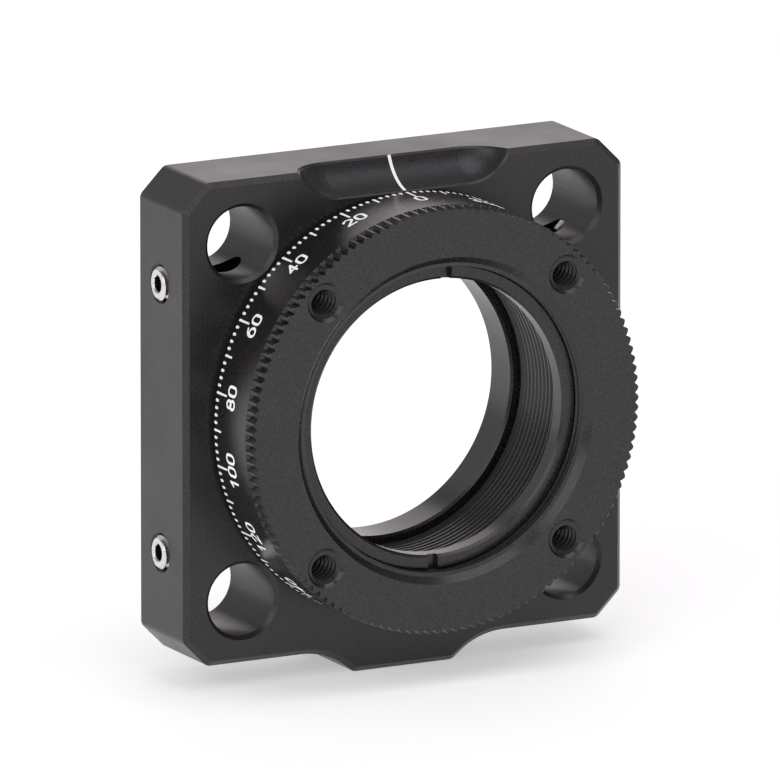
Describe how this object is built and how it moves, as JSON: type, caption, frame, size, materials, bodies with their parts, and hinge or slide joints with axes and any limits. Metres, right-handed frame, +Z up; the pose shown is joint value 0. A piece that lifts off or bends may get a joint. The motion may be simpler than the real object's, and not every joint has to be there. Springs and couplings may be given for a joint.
{
  "type": "optical lens mount",
  "caption": "Square cage plate with a turning, graduated dial that holds a round optic behind a threaded ring, with rod bores and clamp screws.",
  "frame": {"origin": "on the optical axis, in the front face of the square plate", "axes": "+X to the right seen from the front, +Y along the optical axis to the rear, +Z up, away from the foot"},
  "size_m": [0.041, 0.0158, 0.0426],
  "materials": {
    "plate_finish": "matte black anodised, milled",
    "dial_finish": "matte black anodised, turned",
    "ring_finish": "matte black anodised with a brighter bore",
    "engraving": "white paint in engraved marks",
    "steel": "plain stainless",
    "washer": "white fluoropolymer sheet",
    "nylon": "natural nylon"
  },
  "bodies": {
    "plate": {"cage_plate": "plate_finish", "front_thrust_washer": "washer", "rear_thrust_washer": "washer"},
    "dial": {"rotating_dial": "dial_finish", "rear_wave_spring": "steel", "rear_clamp_ring": "dial_finish"},
    "optic_ring": {"optic_retaining_ring": "ring_finish"},
    "clamp_screw_upper_left": {"rod_screw_upper_left": "steel"},
    "clamp_screw_upper_right": {"rod_screw_upper_right": "steel"},
    "clamp_screw_lower_left": {"rod_screw_lower_left": "steel"},
    "clamp_screw_lower_right": {"rod_screw_lower_right": "steel"},
    "lock_screw": {"dial_lock_screw": "steel", "lock_screw_tip": "nylon"}
  },
  "joints": [
    {"name": "dial_turn", "type": "hinge", "parent": "plate", "child": "dial", "pos_m": [0, 0, 0], "axis": [0, 1, 0], "continuous": true},
    {"name": "optic_ring_travel", "type": "slide", "parent": "dial", "child": "optic_ring", "axis": [0, 1, 0], "range_m": [-0.00127, 0.00826]},
    {"name": "clamp_screw_upper_left_travel", "type": "slide", "parent": "plate", "child": "clamp_screw_upper_left", "axis": [-1, 0, 0], "range_m": [0, 0.00127]},
    {"name": "clamp_screw_upper_right_travel", "type": "slide", "parent": "plate", "child": "clamp_screw_upper_right", "axis": [1, 0, 0], "range_m": [0, 0.00127]},
    {"name": "clamp_screw_lower_left_travel", "type": "slide", "parent": "plate", "child": "clamp_screw_lower_left", "axis": [-1, 0, 0], "range_m": [0, 0.00127]},
    {"name": "clamp_screw_lower_right_travel", "type": "slide", "parent": "plate", "child": "clamp_screw_lower_right", "axis": [1, 0, 0], "range_m": [0, 0.00127]},
    {"name": "lock_screw_travel", "type": "slide", "parent": "plate", "child": "lock_screw", "axis": [1, 0, 0], "range_m": [-0.00013, 0.00127]}
  ]
}
